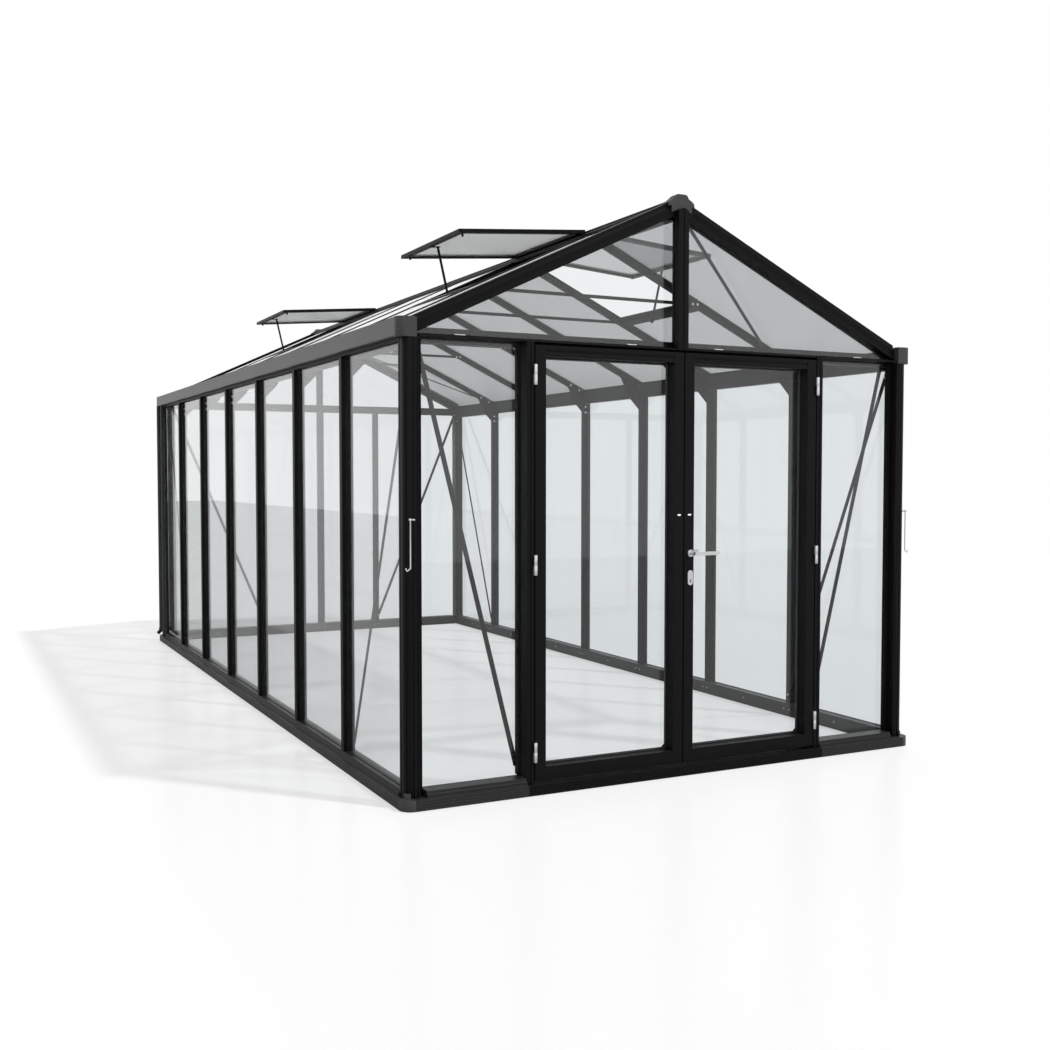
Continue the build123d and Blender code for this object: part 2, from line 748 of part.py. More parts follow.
def sill_bar(low, high):
    """Vent sill between two rafters."""
    span = (low + cap_width / 2 + seat, high - cap_width / 2 - seat)
    sill_end = vent_sill + vent_sill_width
    with BuildPart() as sill:
        add(roof_slab((vent_sill, sill_end), (vent_sill_top_drop, cap_drop), span))
        add(roof_slab((vent_sill, sill_end - vent_sill_lip), (cap_drop, glass_drop), span))
        add(roof_slab((vent_sill, sill_end), (glass_drop, vent_sill_drop), span))
    return sill.part


save(in_vent_bays(sill_bar), "vent_sills")

# Vent sashes, held open, with their hinge edge on the ridge wing
sash_slope = sash_fall / (sash_edge - sash_hinge)
sash_base = roof(sash_hinge, ridge_wing_drop) + seat
pane_rise = (sash_thickness - sash_glass_drop - glass, sash_thickness - sash_glass_drop)


def sash_slab(x, rise, y):
    """A slab of the open sash between two distances and two heights above its underside."""
    heights = [sash_base - sash_slope * (d - sash_hinge) for d in x]
    return along_y([(x[0], heights[0] + rise[0]), (x[1], heights[1] + rise[0]),
                    (x[1], heights[1] + rise[1]), (x[0], heights[0] + rise[1])], y[0], y[1])


def sash_frame(low, high):
    """Frame of a sash, with the pane's groove."""
    span = (low + sash_play, high - sash_play)
    inner = (span[0] + sash_bar, span[1] - sash_bar)
    bite = glass_bite + glass_play
    with BuildPart() as sash:
        add(sash_slab((sash_hinge, sash_edge), (0, sash_thickness), span))
        add(sash_slab((sash_hinge + sash_bar, sash_edge - sash_bar), (-over, sash_thickness + over), inner),
            mode=Mode.SUBTRACT)
        add(sash_slab((sash_hinge + sash_bar - bite, sash_edge - sash_bar + bite),
                      (pane_rise[0] - glass_play, pane_rise[1] + glass_play),
                      (inner[0] - bite, inner[1] + bite)), mode=Mode.SUBTRACT)
    return sash.part


def sash_pane(low, high):
    """Pane of a sash."""
    edge = sash_play + sash_bar - glass_bite
    return sash_slab((sash_hinge + sash_bar - glass_bite, sash_edge - sash_bar + glass_bite), pane_rise,
                     (low + edge, high - edge))


def stay(low, high):
    """Stay from the sash's free edge down past the sill, with a bracket and a knob."""
    stay_top = sash_edge - stay_top_inset
    stay_bottom = vent_sill - stay_foot_inset
    under_sash = sash_base - sash_slope * (stay_top + stay_radius - sash_hinge)
    middle = (low + high) / 2
    foot = (stay_bottom, middle, roof(stay_bottom, stay_foot_drop))
    with BuildPart() as piece:
        add(rod(foot, (stay_top, middle, under_sash - seat - strip / 2), stay_radius))
        bracket = (stay_top - knob_radius, sash_edge - sash_bar / 2)
        add(sash_slab(bracket, (-seat - strip, -seat), (middle - knob_radius, middle + knob_radius)))
        with Locations(foot):
            Sphere(knob_radius)
    return piece.part


save(in_vent_bays(sash_frame), "vent_frames")
save(in_vent_bays(sash_pane), "vent_glass")
save(in_vent_bays(stay), "vent_stays")

# Collar ties, bolted to the sides of the rafters away from the vents
with BuildPart() as collar_ties:
    collar_height = roof(collar_half, collar_drop)
    for y in lines:
        outward = 1 if (abs(y) > half_length - 1.5 * bay) == (y > 0) else -1
        near = y + outward * (bar_width / 2 + seat)
        add(block((-collar_half, collar_half), sorted((near, near + outward * collar_thickness)),
                  (collar_height, collar_height + collar_depth)))
save(collar_ties, "collar_ties")

# Gusset plates between posts and rafters
with BuildPart() as gussets:
    plate = [(bar_inner - gusset_edge, gusset_foot), (post_inner + gusset_edge, gusset_foot),
             (gusset_knee, eave_height), (gusset_reach, roof(gusset_reach, rafter_drop - gusset_lap)),
             (beam_inner_face - seat, roof(beam_inner_face, glass_drop + gusset_clear)),
             (beam_inner_face - seat, eave_height - seat), (bar_inner - gusset_edge, eave_height - seat)]
    for y in lines:
        inward = -1 if y > 0 else 1
        near = y + inward * (bar_width / 2 + seat)
        start, end = sorted((near, near + inward * gusset_plate))
        add(along_y(plate, start, end))
    mirror(about=Plane.YZ)
save(gussets, "gussets")

# Flat braces: in the end bays of the side walls, in the outer gable panes and under the end roof bays
with BuildPart() as wall_braces:
    top_point = (gable_post_inner + wall_brace_inset, eave_height - wall_brace_drop)
    foot_point = (half_length - bay, brace_foot)
    plane_x = post_inner - seat - strip
    add(along_x(strip_between(foot_point, top_point, brace_width), plane_x, plane_x + strip))
    mirror(about=Plane.XZ)
    mirror(about=Plane.YZ)
save(wall_braces, "wall_braces")

with BuildPart() as gable_braces:
    top_point = (flange_x + brace_lap, tie_cap_bottom)
    plane_y = gable_post_inner - seat - strip
    back_outline = strip_between((back_post_x + brace_lap, brace_foot), top_point, brace_width)
    add(along_y(back_outline, plane_y, plane_y + strip))
    front_outline = strip_between((jamb_outer + brace_lap, brace_foot), top_point, brace_width)
    add(along_y(front_outline, -plane_y - strip, -plane_y))
    mirror(about=Plane.YZ)
save(gable_braces, "gable_braces")

with BuildPart() as roof_braces:
    low_line = -half_length + bay
    with BuildSketch():
        ends = ((ridge_wing, -gable_post_inner),
                (gusset_reach - roof_brace_inset, low_line - bar_width / 4))
        Polygon(*strip_between(*ends, brace_width), align=None)
    extrude(amount=apex)
    drops = (rafter_drop + seat, rafter_drop + seat + strip)
    brace_end = gable_post_inner - seat
    add(roof_slab((0, side_face), drops, (-brace_end, brace_end)), mode=Mode.INTERSECT)
    mirror(about=Plane.XZ)
    mirror(about=Plane.YZ)
save(roof_braces, "roof_braces")

# Downpipes with a collar and a turned-out shoe, drawn on the right and mirrored to the left
with BuildPart() as drawn_pipes:
    pipe_x = side_face + pipe_gap + collar_radius
    for y, turn in zip(pipe_places, ((0.7, 0.35), (0.35, -0.7))):
        with BuildSketch(Plane.XY.offset(pipe_foot)):
            with Locations((pipe_x, y)):
                Circle(pipe_radius)
        extrude(amount=gutter_bottom - seat - pipe_foot)
        with BuildSketch(Plane.XY.offset(pipe_foot)):
            with Locations((pipe_x, y)):
                Circle(collar_radius)
        extrude(amount=pipe_collar_height)
        with Locations((pipe_x, y, pipe_foot)):
            Sphere(pipe_radius)
        tip = Vector(turn[0], turn[1], -0.75).normalized() * shoe_length
        add(rod((pipe_x, y, pipe_foot), (pipe_x + tip.X, y + tip.Y, pipe_foot + tip.Z), pipe_radius))
with BuildPart() as downpipes:
    mirror(drawn_pipes.part, about=Plane.YZ)
save(downpipes, "downpipes")


# Door leaves
def leaf_frame():
    """The right-hand leaf's frame with the pane's groove and the corner gussets."""
    opening_x = (meeting + stile, leaf_edge - stile)
    opening_z = (leaf_bottom + bottom_rail, leaf_top - top_rail)
    groove_front = leaf_glass_setback - glass_play - door_face
    groove_back = groove_front + glass + 2 * glass_play
    bite = glass_bite + glass_play
    with BuildPart() as frame:
        add(block((meeting, leaf_edge), (-door_face, -leaf_back), (leaf_bottom, leaf_top)))
        add(block(opening_x, (-door_face - over, over - leaf_back), opening_z), mode=Mode.SUBTRACT)
        groove_x = (opening_x[0] - bite, opening_x[1] + bite)
        groove_z = (opening_z[0] - bite, opening_z[1] + bite)
        add(block(groove_x, (groove_front, groove_back), groove_z), mode=Mode.SUBTRACT)
        face_groove = (leaf_top - leaf_groove[1], leaf_top - leaf_groove[0])
        add(block(opening_x, (-door_face - over, leaf_groove_depth - door_face), face_groove),
            mode=Mode.SUBTRACT)
        for x, to_x in ((opening_x[0], 1), (opening_x[1], -1)):
            for z, to_z in ((opening_z[0], 1), (opening_z[1], -1)):
                near_x, near_z = x - to_x * over, z - to_z * over
                plate = [(near_x, near_z), (x + to_x * leaf_gusset, near_z), (near_x, z + to_z * leaf_gusset)]
                add(along_y(plate, groove_back, groove_back + leaf_gusset_thickness))
    return frame.part


with BuildPart() as door_frame_right:
    add(leaf_frame())
save(door_frame_right, "door_frame_right")
with BuildPart() as door_frame_left:
    mirror(leaf_frame(), about=Plane.YZ)
save(door_frame_left, "door_frame_left")

with BuildPart() as door_glass_right:
    edge = stile - glass_bite
    pane_front = leaf_glass_setback - door_face
    add(block((meeting + edge, leaf_edge - edge), (pane_front, pane_front + glass),
              (leaf_bottom + bottom_rail - glass_bite, leaf_top - top_rail + glass_bite)))
save(door_glass_right, "door_glass_right")
with BuildPart() as door_glass_left:
    mirror(door_glass_right.part, about=Plane.YZ)
save(door_glass_left, "door_glass_left")


def knuckle(low, high, side):
    """Half a hinge knuckle on the right door's axis, with its wing towards the jamb or the leaf."""
    with BuildPart() as half:
        with BuildSketch(Plane.XY.offset(low)):
            with Locations((hinge_x, -hinge_y)):
                Circle(knuckle_radius)
            Polygon((hinge_x, -hinge_y), (hinge_x + side * knuckle_wing, -hinge_y),
                    (hinge_x + side * knuckle_wing, -door_face), (hinge_x, -door_face), align=None)
        extrude(amount=high - low)
    return half.part


with BuildPart() as jamb_hinges:
    for middle in hinge_heights:
        add(knuckle(middle - knuckle_height / 2, middle - seat / 2, 1))
    mirror(about=Plane.YZ)
save(jamb_hinges, "jamb_hinges")
with BuildPart() as door_hinges_right:
    for middle in hinge_heights:
        add(knuckle(middle + seat / 2, middle + knuckle_height / 2, -1))
save(door_hinges_right, "door_hinges_right")
with BuildPart() as door_hinges_left:
    mirror(door_hinges_right.part, about=Plane.YZ)
save(door_hinges_left, "door_hinges_left")

# Lock plate and the handle's roses on the right leaf, outside and inside
with BuildPart() as lock_plate:
    with BuildSketch(Plane.XZ.offset(door_face)):
        with Locations((handle_x, lock_height)):
            SlotOverall(lock_size[1], lock_size[0], rotation=90)
        with Locations((handle_x, lock_height - key_drop)):
            SlotOverall(*key_slot, rotation=90, mode=Mode.SUBTRACT)
    extrude(amount=lock_thickness)
    for face_y, out in ((-door_face, -1), (-leaf_back, 1)):
        add(rod((handle_x, face_y, handle_height), (handle_x, face_y + out * rose_thickness, handle_height),
                rose_radius))
save(lock_plate, "lock_plate")

# Lever handles, one on each face of the leaf
with BuildPart() as lever_handle:
    for face_y, out in ((-door_face, -1), (-leaf_back, 1)):
        root = face_y + out * (rose_thickness + seat)
        bend = face_y + out * lever_reach
        add(rod((handle_x, root, handle_height), (handle_x, bend, handle_height), lever_neck))
        with BuildSketch(Plane.XZ.offset(-bend - (lever_thickness if out > 0 else 0))):
            with Locations((handle_x + lever_length / 2 - lever_width / 2, handle_height)):
                SlotOverall(lever_length, lever_width)
        extrude(amount=lever_thickness)
save(lever_handle, "lever_handle")

# Hold-back hooks on the front corner columns
hook_y = -(corner_y + hook_standoff)
with BuildPart() as hook_eyes:
    eye_x = side_face - corner_radius
    add(rod((eye_x, -corner_y, hook_height), (eye_x, hook_y - eye_radius, hook_height), eye_radius))
    add(rod((eye_x, hook_y, hook_height), (hook_x - hook_ball - seat, hook_y, hook_height), eye_arm_radius))
    mirror(about=Plane.YZ)
save(hook_eyes, "hook_eyes")

with BuildPart() as hook_right:
    top = (hook_x, hook_y, hook_height)
    foot = (hook_x, hook_y, hook_height - hook_length + hook_bend)
    with Locations(top):
        Sphere(hook_ball)
    add(rod((hook_x, hook_y - hook_pin, hook_height), (hook_x, hook_y + hook_pin, hook_height), eye_radius))
    add(rod(top, foot, hook_radius))
    with Locations(foot):
        Sphere(hook_radius)
    hook_tip = (hook_x + hook_toe, hook_y, hook_height - hook_length + hook_radius)
    add(rod(foot, hook_tip, hook_radius))
    with Locations(hook_tip):
        Sphere(hook_radius)
    add(rod(hook_tip, (hook_x + hook_tip_out, hook_y, hook_height - hook_length + hook_toe), hook_radius))
save(hook_right, "hook_right")
with BuildPart() as hook_left:
    mirror(hook_right.part, about=Plane.YZ)
save(hook_left, "hook_left")
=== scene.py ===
import math

import bmesh
import bpy
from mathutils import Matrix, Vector


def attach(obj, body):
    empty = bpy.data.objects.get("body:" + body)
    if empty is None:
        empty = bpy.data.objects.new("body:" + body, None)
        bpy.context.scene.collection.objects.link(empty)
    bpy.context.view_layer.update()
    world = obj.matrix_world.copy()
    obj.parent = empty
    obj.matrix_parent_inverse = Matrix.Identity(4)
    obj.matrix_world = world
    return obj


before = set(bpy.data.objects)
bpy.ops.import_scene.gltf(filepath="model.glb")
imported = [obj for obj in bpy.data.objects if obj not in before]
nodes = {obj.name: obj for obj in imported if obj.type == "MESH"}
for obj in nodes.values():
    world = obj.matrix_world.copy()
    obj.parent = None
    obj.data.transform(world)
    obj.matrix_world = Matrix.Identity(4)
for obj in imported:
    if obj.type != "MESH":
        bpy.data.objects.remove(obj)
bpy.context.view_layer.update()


# Shader building

class Wire:
    """A socket of a finish. Sums, products and powers of wires and numbers add Math nodes."""

    def __init__(self, finish, socket):
        self.finish = finish
        self.socket = socket

    def math(self, operation, *values):
        return self.finish.add("Math", {"operation": operation}, dict(enumerate(values)))

    def __add__(self, other):
        return self.math("ADD", self, other)

    __radd__ = __add__

    def __mul__(self, other):
        return self.math("MULTIPLY", self, other)

    __rmul__ = __mul__

    def __pow__(self, other):
        return self.math("POWER", self, other)

    def __or__(self, other):
        return self.math("MAXIMUM", self, other)


class Finish:
    """A material, or the world, that is built node by node."""

    def __init__(self, name, holder=None):
        self.holder = holder or bpy.data.materials.new(name)
        self.holder.use_nodes = True
        self.tree = self.holder.node_tree
        self.tree.nodes.clear()

    def add(self, kind, settings=None, sockets=None, out=0):
        """A node with its settings made first, then its sockets' values and links."""
        node = self.tree.nodes.new("ShaderNode" + kind)
        for key, value in (settings or {}).items():
            setattr(node, key, value)
        for key, value in (sockets or {}).items():
            if isinstance(value, Wire):
                self.tree.links.new(value.socket, node.inputs[key])
            else:
                node.inputs[key].default_value = value
        return Wire(self, node.outputs[out]) if node.outputs else None

    def place(self):
        """Places on the piece at rest, in metres."""
        return self.add("TexCoord", out="Object")

    def stretched(self, x, y, z):
        """The same places, drawn out along an axis that has a small factor."""
        return self.add("Mapping", {}, {"Vector": self.place(), "Scale": (x, y, z)})

    def noise(self, scale, detail=3.0, where=None):
        vector = where or self.place()
        return self.add("TexNoise", {}, {"Vector": vector, "Scale": scale, "Detail": detail})

    def blend(self, share, first, second):
        """A mix of two colours. A Mix node has its colours in sockets 6 and 7, and gives one in 2."""
        return self.add("Mix", {"data_type": "RGBA"}, {0: share, 6: first, 7: second}, 2)

    def surface(self, shader):
        self.add("OutputMaterial", {}, {"Surface": shader})
        return self.holder


def grey(level, blue=1.0):
    return (level, level, level * blue, 1.0)


# Materials

def coated(name, dark, light, roughness, specular):
    """Powder-coated aluminium: faint cloudiness and a fine orange peel."""
    f = Finish(name)
    cloud = f.noise(3.0, 4.0)
    grain = f.noise(70.0, 2.0)
    peel = f.add("Bump", {}, {"Strength": 0.02, "Distance": 0.0002, "Height": grain})
    return f.surface(f.add("BsdfPrincipled", {}, {
        "Base Color": f.blend(cloud, grey(dark), grey(light)),
        "Roughness": roughness - 0.04 + cloud * 0.08,
        "Specular IOR Level": specular,
        "Normal": peel,
    }))


def moulded(name, dark, light, roughness):
    """Moulded plastic with a fine spark-eroded grain."""
    f = Finish(name)
    mottle = f.noise(14.0, 3.0)
    grain = f.noise(1400.0, 2.0)
    texture = f.add("Bump", {}, {"Strength": 0.25, "Distance": 0.0003, "Height": grain})
    return f.surface(f.add("BsdfPrincipled", {}, {
        "Base Color": f.blend(mottle, grey(dark), grey(light)),
        "Roughness": roughness + grain * 0.12,
        "Specular IOR Level": 0.35,
        "Normal": texture,
    }))


def steel(name, dark, light, roughness):
    """Satin steel with fine brushing."""
    f = Finish(name)
    brushing = f.noise(1.0, 4.0, f.stretched(160.0, 160.0, 1800.0))
    return f.surface(f.add("BsdfPrincipled", {}, {
        "Base Color": f.blend(brushing, grey(dark, 1.02), grey(light, 1.01)),
        "Metallic": 1.0,
        "Roughness": roughness + brushing * 0.12,
    }))


def pane(name, tint, blur):
    """Clear sheet: see-through, with a thin film of dust and a sheen that grows towards a grazing view."""
    f = Finish(name)
    slant = f.add("LayerWeight", {}, {"Blend": 0.5}, "Facing")
    streaks = f.noise(1.0, 3.0, f.stretched(5.0, 5.0, 0.7))
    sheen = 0.04 + slant ** 5.0 * 0.96
    clear = f.add("BsdfTransparent", {}, {"Color": tint})
    gloss = f.add("BsdfGlossy", {}, {"Color": grey(1.0), "Roughness": blur})
    film = f.add("BsdfDiffuse", {}, {"Color": grey(0.8)})
    clean = f.add("MixShader", {}, {"Fac": sheen, 1: clear, 2: gloss})
    return f.surface(f.add("MixShader", {}, {"Fac": streaks * 0.02, 1: clean, 2: film}))


black_coat = coated("black_powder_coat", 0.0042, 0.0066, 0.42, 0.10)
rail_coat = coated("rail_powder_coat", 0.014, 0.022, 0.40, 0.35)
# painted light: the gutters get a lighter copy of the frames' dark powder coat; its lifted colour stands in
# for the light falling on them
gutter_coat_painted_light = coated("gutter_powder_coat_painted_light", 0.060, 0.076, 0.42, 0.4)
cap_plastic = moulded("cap_plastic", 0.038, 0.049, 0.46)
pipe_plastic = moulded("pipe_plastic", 0.012, 0.017, 0.42)
seal_rubber = moulded("seal_rubber", 0.006, 0.009, 0.60)
bead_plastic = moulded("bead_plastic", 0.085, 0.110, 0.50)
satin_steel = steel("satin_steel", 0.62, 0.80, 0.26)
bolt_zinc = steel("bolt_zinc", 0.78, 0.92, 0.34)
wall_pane = pane("wall_pane", (0.926, 0.938, 0.942, 1.0), 0.0)
roof_pane = pane("roof_pane", (0.762, 0.768, 0.770, 1.0), 0.35)
vent_pane = pane("vent_pane", (0.880, 0.885, 0.887, 1.0), 0.35)

BY_SLOT = {
    "black_frame": black_coat,
    "grey_frame": rail_coat,
    "grey_plastic": cap_plastic,
    "black_plastic": pipe_plastic,
    "silver_fittings": satin_steel,
    "clear_glass": wall_pane,
    "roof_glass": roof_pane,
}
BY_NODE = {"gutter_left": gutter_coat_painted_light, "gutter_right": gutter_coat_painted_light, "vent_glass": vent_pane}

WELD_REACH = 0.00002
EDGE_RADIUS = 0.0009
EDGE_ANGLE = math.radians(35.0)  # edges that turn by more than this are rounded


def soften(piece):
    """Rounds the long edges of a frame piece a little, so that they catch the light."""
    weld = piece.modifiers.new("weld", "WELD")
    weld.merge_threshold = WELD_REACH
    edge = piece.modifiers.new("soft_edges", "BEVEL")
    edge.width = EDGE_RADIUS
    edge.segments = 2
    edge.limit_method = "ANGLE"
    edge.angle_limit = EDGE_ANGLE
    edge.harden_normals = True


for name, piece in nodes.items():
    coat = BY_NODE.get(name, BY_SLOT[piece.data.materials[0].name])
    piece.data.materials[0] = coat
    if coat not in (wall_pane, roof_pane, vent_pane):
        soften(piece)


# Sizes of the frame that the fittings follow, in metres

BAY = 0.740
POST_LINES = [BAY * (i - 2.5) for i in range(6)]
BAY_MIDDLES = [BAY * (i - 3) for i in range(7)]
APEX = 2.442  # where the planes of the roof's caps meet
SLOPE = 0.5867 / 1.252
BASE_TOP = 0.068
SIDE_GLASS = 1.231  # outer faces of the panes
GABLE_GLASS = 2.567
GABLE_GLASS_TOP = 1.798
DOOR_FACE = 2.634
SIDES = (1.0, -1.0)
RIGHTWARDS = (1.0, 0.0, 0.0)
BACKWARDS = (0.0, 1.0, 0.0)
FORWARDS = (0.0, -1.0, 0.0)
UPWARDS = (0.0, 0.0, 1.0)
DOWNWARDS = (0.0, 0.0, -1.0)


def roof(x, drop):
    """Height of the roof at a distance from the middle, a plumb drop below the caps' plane."""
    return APEX - SLOPE * abs(x) - drop


def along(start, end, length):
    """The point at a length from start towards end."""
    share = length / math.hypot(end[0] - start[0], end[1] - start[1])
    return (start[0] + (end[0] - start[0]) * share, start[1] + (end[1] - start[1]) * share)


# Fittings

class Fitting:
    """Fasteners or trim of one kind, merged into one piece."""

    def __init__(self):
        self.mesh = bmesh.new()

    def ring(self, place, turn, radius, height, sides):
        angles = [2.0 * math.pi * i / sides for i in range(sides)]
        spots = [Vector((radius * math.cos(a), radius * math.sin(a), height)) for a in angles]
        return [self.mesh.verts.new(place + turn @ spot) for spot in spots]

    def turned(self, place, axis, profile, sides):
        """A round or many-sided fitting: (radius, height) pairs along an axis."""
        turn = Vector(axis).to_track_quat("Z", "Y").to_matrix()
        rings = [self.ring(Vector(place), turn, radius, height, sides) for radius, height in profile]
        self.mesh.faces.new(list(reversed(rings[0])))
        for low, high in zip(rings, rings[1:]):
            for i in range(sides):
                j = (i + 1) % sides
                self.mesh.faces.new((low[i], low[j], high[j], high[i]))
        self.mesh.faces.new(rings[-1])

    def bolt(self, place, axis, size):
        """A hexagon head on its washer."""
        washer = [(size * 1.5, 0.0), (size * 1.5, size * 0.22), (size * 1.42, size * 0.3)]
        head = [(size, 0.0), (size, size * 0.62), (size * 0.84, size * 0.8)]
        self.turned(place, axis, washer, sides=20)
        self.turned(Vector(place) + Vector(axis) * size * 0.3, axis, head, sides=6)

    def screw(self, place, axis, size=0.0035):
        """A pan head with its drive recess."""
        head = [(1.0, 0.0), (1.0, 0.25), (0.86, 0.5), (0.6, 0.64), (0.34, 0.66), (0.26, 0.3)]
        self.turned(place, axis, [(size * radius, size * height) for radius, height in head], sides=14)

    def strip(self, start, end, across, out, width, height):
        """A bead with rounded shoulders, width wide along across and height high along out."""
        start, end, across, out = Vector(start), Vector(end), Vector(across), Vector(out)
        section = [(-0.5, 0.0), (-0.5, 0.55), (-0.3, 0.95), (0.3, 0.95), (0.5, 0.55), (0.5, 0.0)]
        spots = [across * width * u + out * height * v for u, v in section]
        near = [self.mesh.verts.new(start + spot) for spot in spots]
        far = [self.mesh.verts.new(end + spot) for spot in spots]
        self.mesh.faces.new(near)
        self.mesh.faces.new(list(reversed(far)))
        for i in range(len(spots)):
            j = (i + 1) % len(spots)
            self.mesh.faces.new((near[j], near[i], far[i], far[j]))

    def place(self, name, coat, body, slot_name):
        """Hands the piece over, riding on its body."""
        bmesh.ops.recalc_face_normals(self.mesh, faces=self.mesh.faces)
        mesh = bpy.data.meshes.new(name)
        self.mesh.to_mesh(mesh)
        self.mesh.free()
        piece = bpy.data.objects.new(name, mesh)
        bpy.context.scene.collection.objects.link(piece)
        piece.data.materials.append(coat)
        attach(piece, body)


# Screws along the inside of the base rails: a pair at each post and one in the middle of each bay

RAIL_INNER = 1.190
BACK_RAIL_INNER = 2.560
RAIL_SCREW_HEIGHT = 0.036
SCREW_PAIR = (-0.022, 0.022)
BACK_POSTS = (-0.47, 0.0, 0.47)
BACK_BAY_MIDDLES = (-0.83, -0.235, 0.235, 0.83)


def base_rail_screws():
    screws = Fitting()
    for side in SIDES:
        for y in [line + step for line in POST_LINES for step in SCREW_PAIR] + BAY_MIDDLES:
            screws.screw((side * RAIL_INNER, y, RAIL_SCREW_HEIGHT), (-side, 0.0, 0.0))
    for x in [*(post + step for post in BACK_POSTS for step in SCREW_PAIR), *BACK_BAY_MIDDLES]:
        screws.screw((x, BACK_RAIL_INNER, RAIL_SCREW_HEIGHT), FORWARDS)
    screws.place("base_rail_screws", bolt_zinc, "root", "silver_fittings")


# Bolts of the gusset plates, the collar ties and the braces

GUSSET_FACE = 0.0183  # from a rafter's line to the plate's free face
TIE_FACE = 0.0203
POST_BOLT_X = 1.213
POST_BOLT_HEIGHTS = (1.706, 1.744)
RAFTER_BOLTS = ((1.163, 0.040), (1.098, 0.038))  # distance from the middle and drop
TIE_BOLTS = (0.594, 0.566)
TIE_BOLT_HEIGHT = roof(0.605, 0.0345)
PLATE_BOLT = 0.0045
BRACE_BOLT = 0.004
BRACE_BOLT_INSET = 0.016
WALL_BRACE_ENDS = ((1.85, 0.100), (2.5497, 1.750))  # along the wall and up
WALL_BRACE_FACE = 1.1944
GABLE_BRACE_FEET = {1.0: 0.473, -1.0: 0.7445}
GABLE_BRACE_FOOT_HEIGHT = 0.100
GABLE_BRACE_TOP = (1.173, 1.799)
GABLE_BRACE_FACE = 2.5354


def brace_bolt_places(foot, top):
    return [along(foot, top, BRACE_BOLT_INSET), along(top, foot, BRACE_BOLT_INSET)]


def frame_bolts():
    bolts = Fitting()
    post_bolts = [(POST_BOLT_X, height) for height in POST_BOLT_HEIGHTS]
    gusset_bolts = post_bolts + [(x, roof(x, drop)) for x, drop in RAFTER_BOLTS]
    for y in POST_LINES:
        inward = -1.0 if y > 0 else 1.0
        tie_side = 1.0 if (abs(y) > 2 * BAY) == (y > 0) else -1.0
        for side in SIDES:
            for x, z in gusset_bolts:
                bolts.bolt((side * x, y + inward * GUSSET_FACE, z), (0.0, inward, 0.0), PLATE_BOLT)
            for x in TIE_BOLTS:
                spot = (side * x, y + tie_side * TIE_FACE, TIE_BOLT_HEIGHT)
                bolts.bolt(spot, (0.0, tie_side, 0.0), PLATE_BOLT)
    for y, z in brace_bolt_places(*WALL_BRACE_ENDS):
        for side in SIDES:
            for gable in SIDES:
                bolts.bolt((side * WALL_BRACE_FACE, gable * y, z), (-side, 0.0, 0.0), BRACE_BOLT)
    for gable, foot_x in GABLE_BRACE_FEET.items():
        for x, z in brace_bolt_places((foot_x, GABLE_BRACE_FOOT_HEIGHT), GABLE_BRACE_TOP):
            for side in SIDES:
                bolts.bolt((side * x, gable * GABLE_BRACE_FACE, z), (0.0, -gable, 0.0), BRACE_BOLT)
    bolts.place("frame_bolts", bolt_zinc, "root", "silver_fittings")


# Rubber seals between the bars' caps and the panes, outside

SEAL = (0.0028, 0.0022)  # width and height
CAP_EDGE = 0.0187  # from a bar's line to its cap's edge
WALL_GLASS_TOP = 1.7845
WALL_SEAL_END = 2.558
FOOT_SEAL_LIFT = 0.0012  # from the base rail's top to the middle of the seal on it
ROOF_SEAL_DROP = 0.0200
ROOF_SEAL_ENDS = (0.6405, 1.214)
ROOF_OUT = (0.424, 0.905)  # square to the roof: outwards and up
BACK_SIDE_POST = 0.47
BACK_SIDE_POST_EDGE = 0.0222
BACK_MIDDLE_POST_EDGE = 0.0267
JAMB_EDGE = 0.744


def glazing_seals():
    seals = Fitting()
    for side in SIDES:
        out = (side, 0.0, 0.0)
        x = side * SIDE_GLASS
        upper, lower = ROOF_SEAL_ENDS
        for line in POST_LINES:
            for y in (line - CAP_EDGE, line + CAP_EDGE):
                seals.strip((x, y, BASE_TOP), (x, y, WALL_GLASS_TOP), BACKWARDS, out, *SEAL)
                seals.strip((side * upper, y, roof(upper, ROOF_SEAL_DROP)),
                            (side * lower, y, roof(lower, ROOF_SEAL_DROP)),
                            BACKWARDS, (side * ROOF_OUT[0], 0.0, ROOF_OUT[1]), *SEAL)
        foot = BASE_TOP + FOOT_SEAL_LIFT
        seals.strip((x, -WALL_SEAL_END, foot), (x, WALL_SEAL_END, foot), UPWARDS, out, *SEAL)
        for post, edge in ((BACK_SIDE_POST, BACK_SIDE_POST_EDGE), (0.0, BACK_MIDDLE_POST_EDGE)):
            for x in (side * post - edge, side * post + edge):
                seals.strip((x, GABLE_GLASS, BASE_TOP), (x, GABLE_GLASS, GABLE_GLASS_TOP),
                            RIGHTWARDS, BACKWARDS, *SEAL)
        x = side * JAMB_EDGE
        seals.strip((x, -GABLE_GLASS, BASE_TOP), (x, -GABLE_GLASS, GABLE_GLASS_TOP),
                    RIGHTWARDS, FORWARDS, *SEAL)
    seals.place("glazing_seals", seal_rubber, "root", "black_frame")


# Door leaves: a grey bead behind each pane, and a seal in front of it

LEAF_GLASS = 2.584
LEAF_GLASS_THICKNESS = 0.004
LEAF_PANE_SIDES = (0.0505, 0.657)
LEAF_PANE_ENDS = (0.107, 1.744)
BEAD = (0.008, 0.006)  # width and height
LEAF_SEAL = (0.003, 0.003)


def around_leaf_pane(side, y, out, width, height):
    """Four strips just inside the edges of a leaf's pane."""
    trim = Fitting()
    inner, outer = LEAF_PANE_SIDES
    low, high = LEAF_PANE_ENDS
    for x in (side * (inner + width / 2), side * (outer - width / 2)):
        trim.strip((x, y, low), (x, y, high), RIGHTWARDS, out, width, height)
    for z in (low + width / 2, high - width / 2):
        trim.strip((side * inner, y, z), (side * outer, y, z), UPWARDS, out, width, height)
    return trim


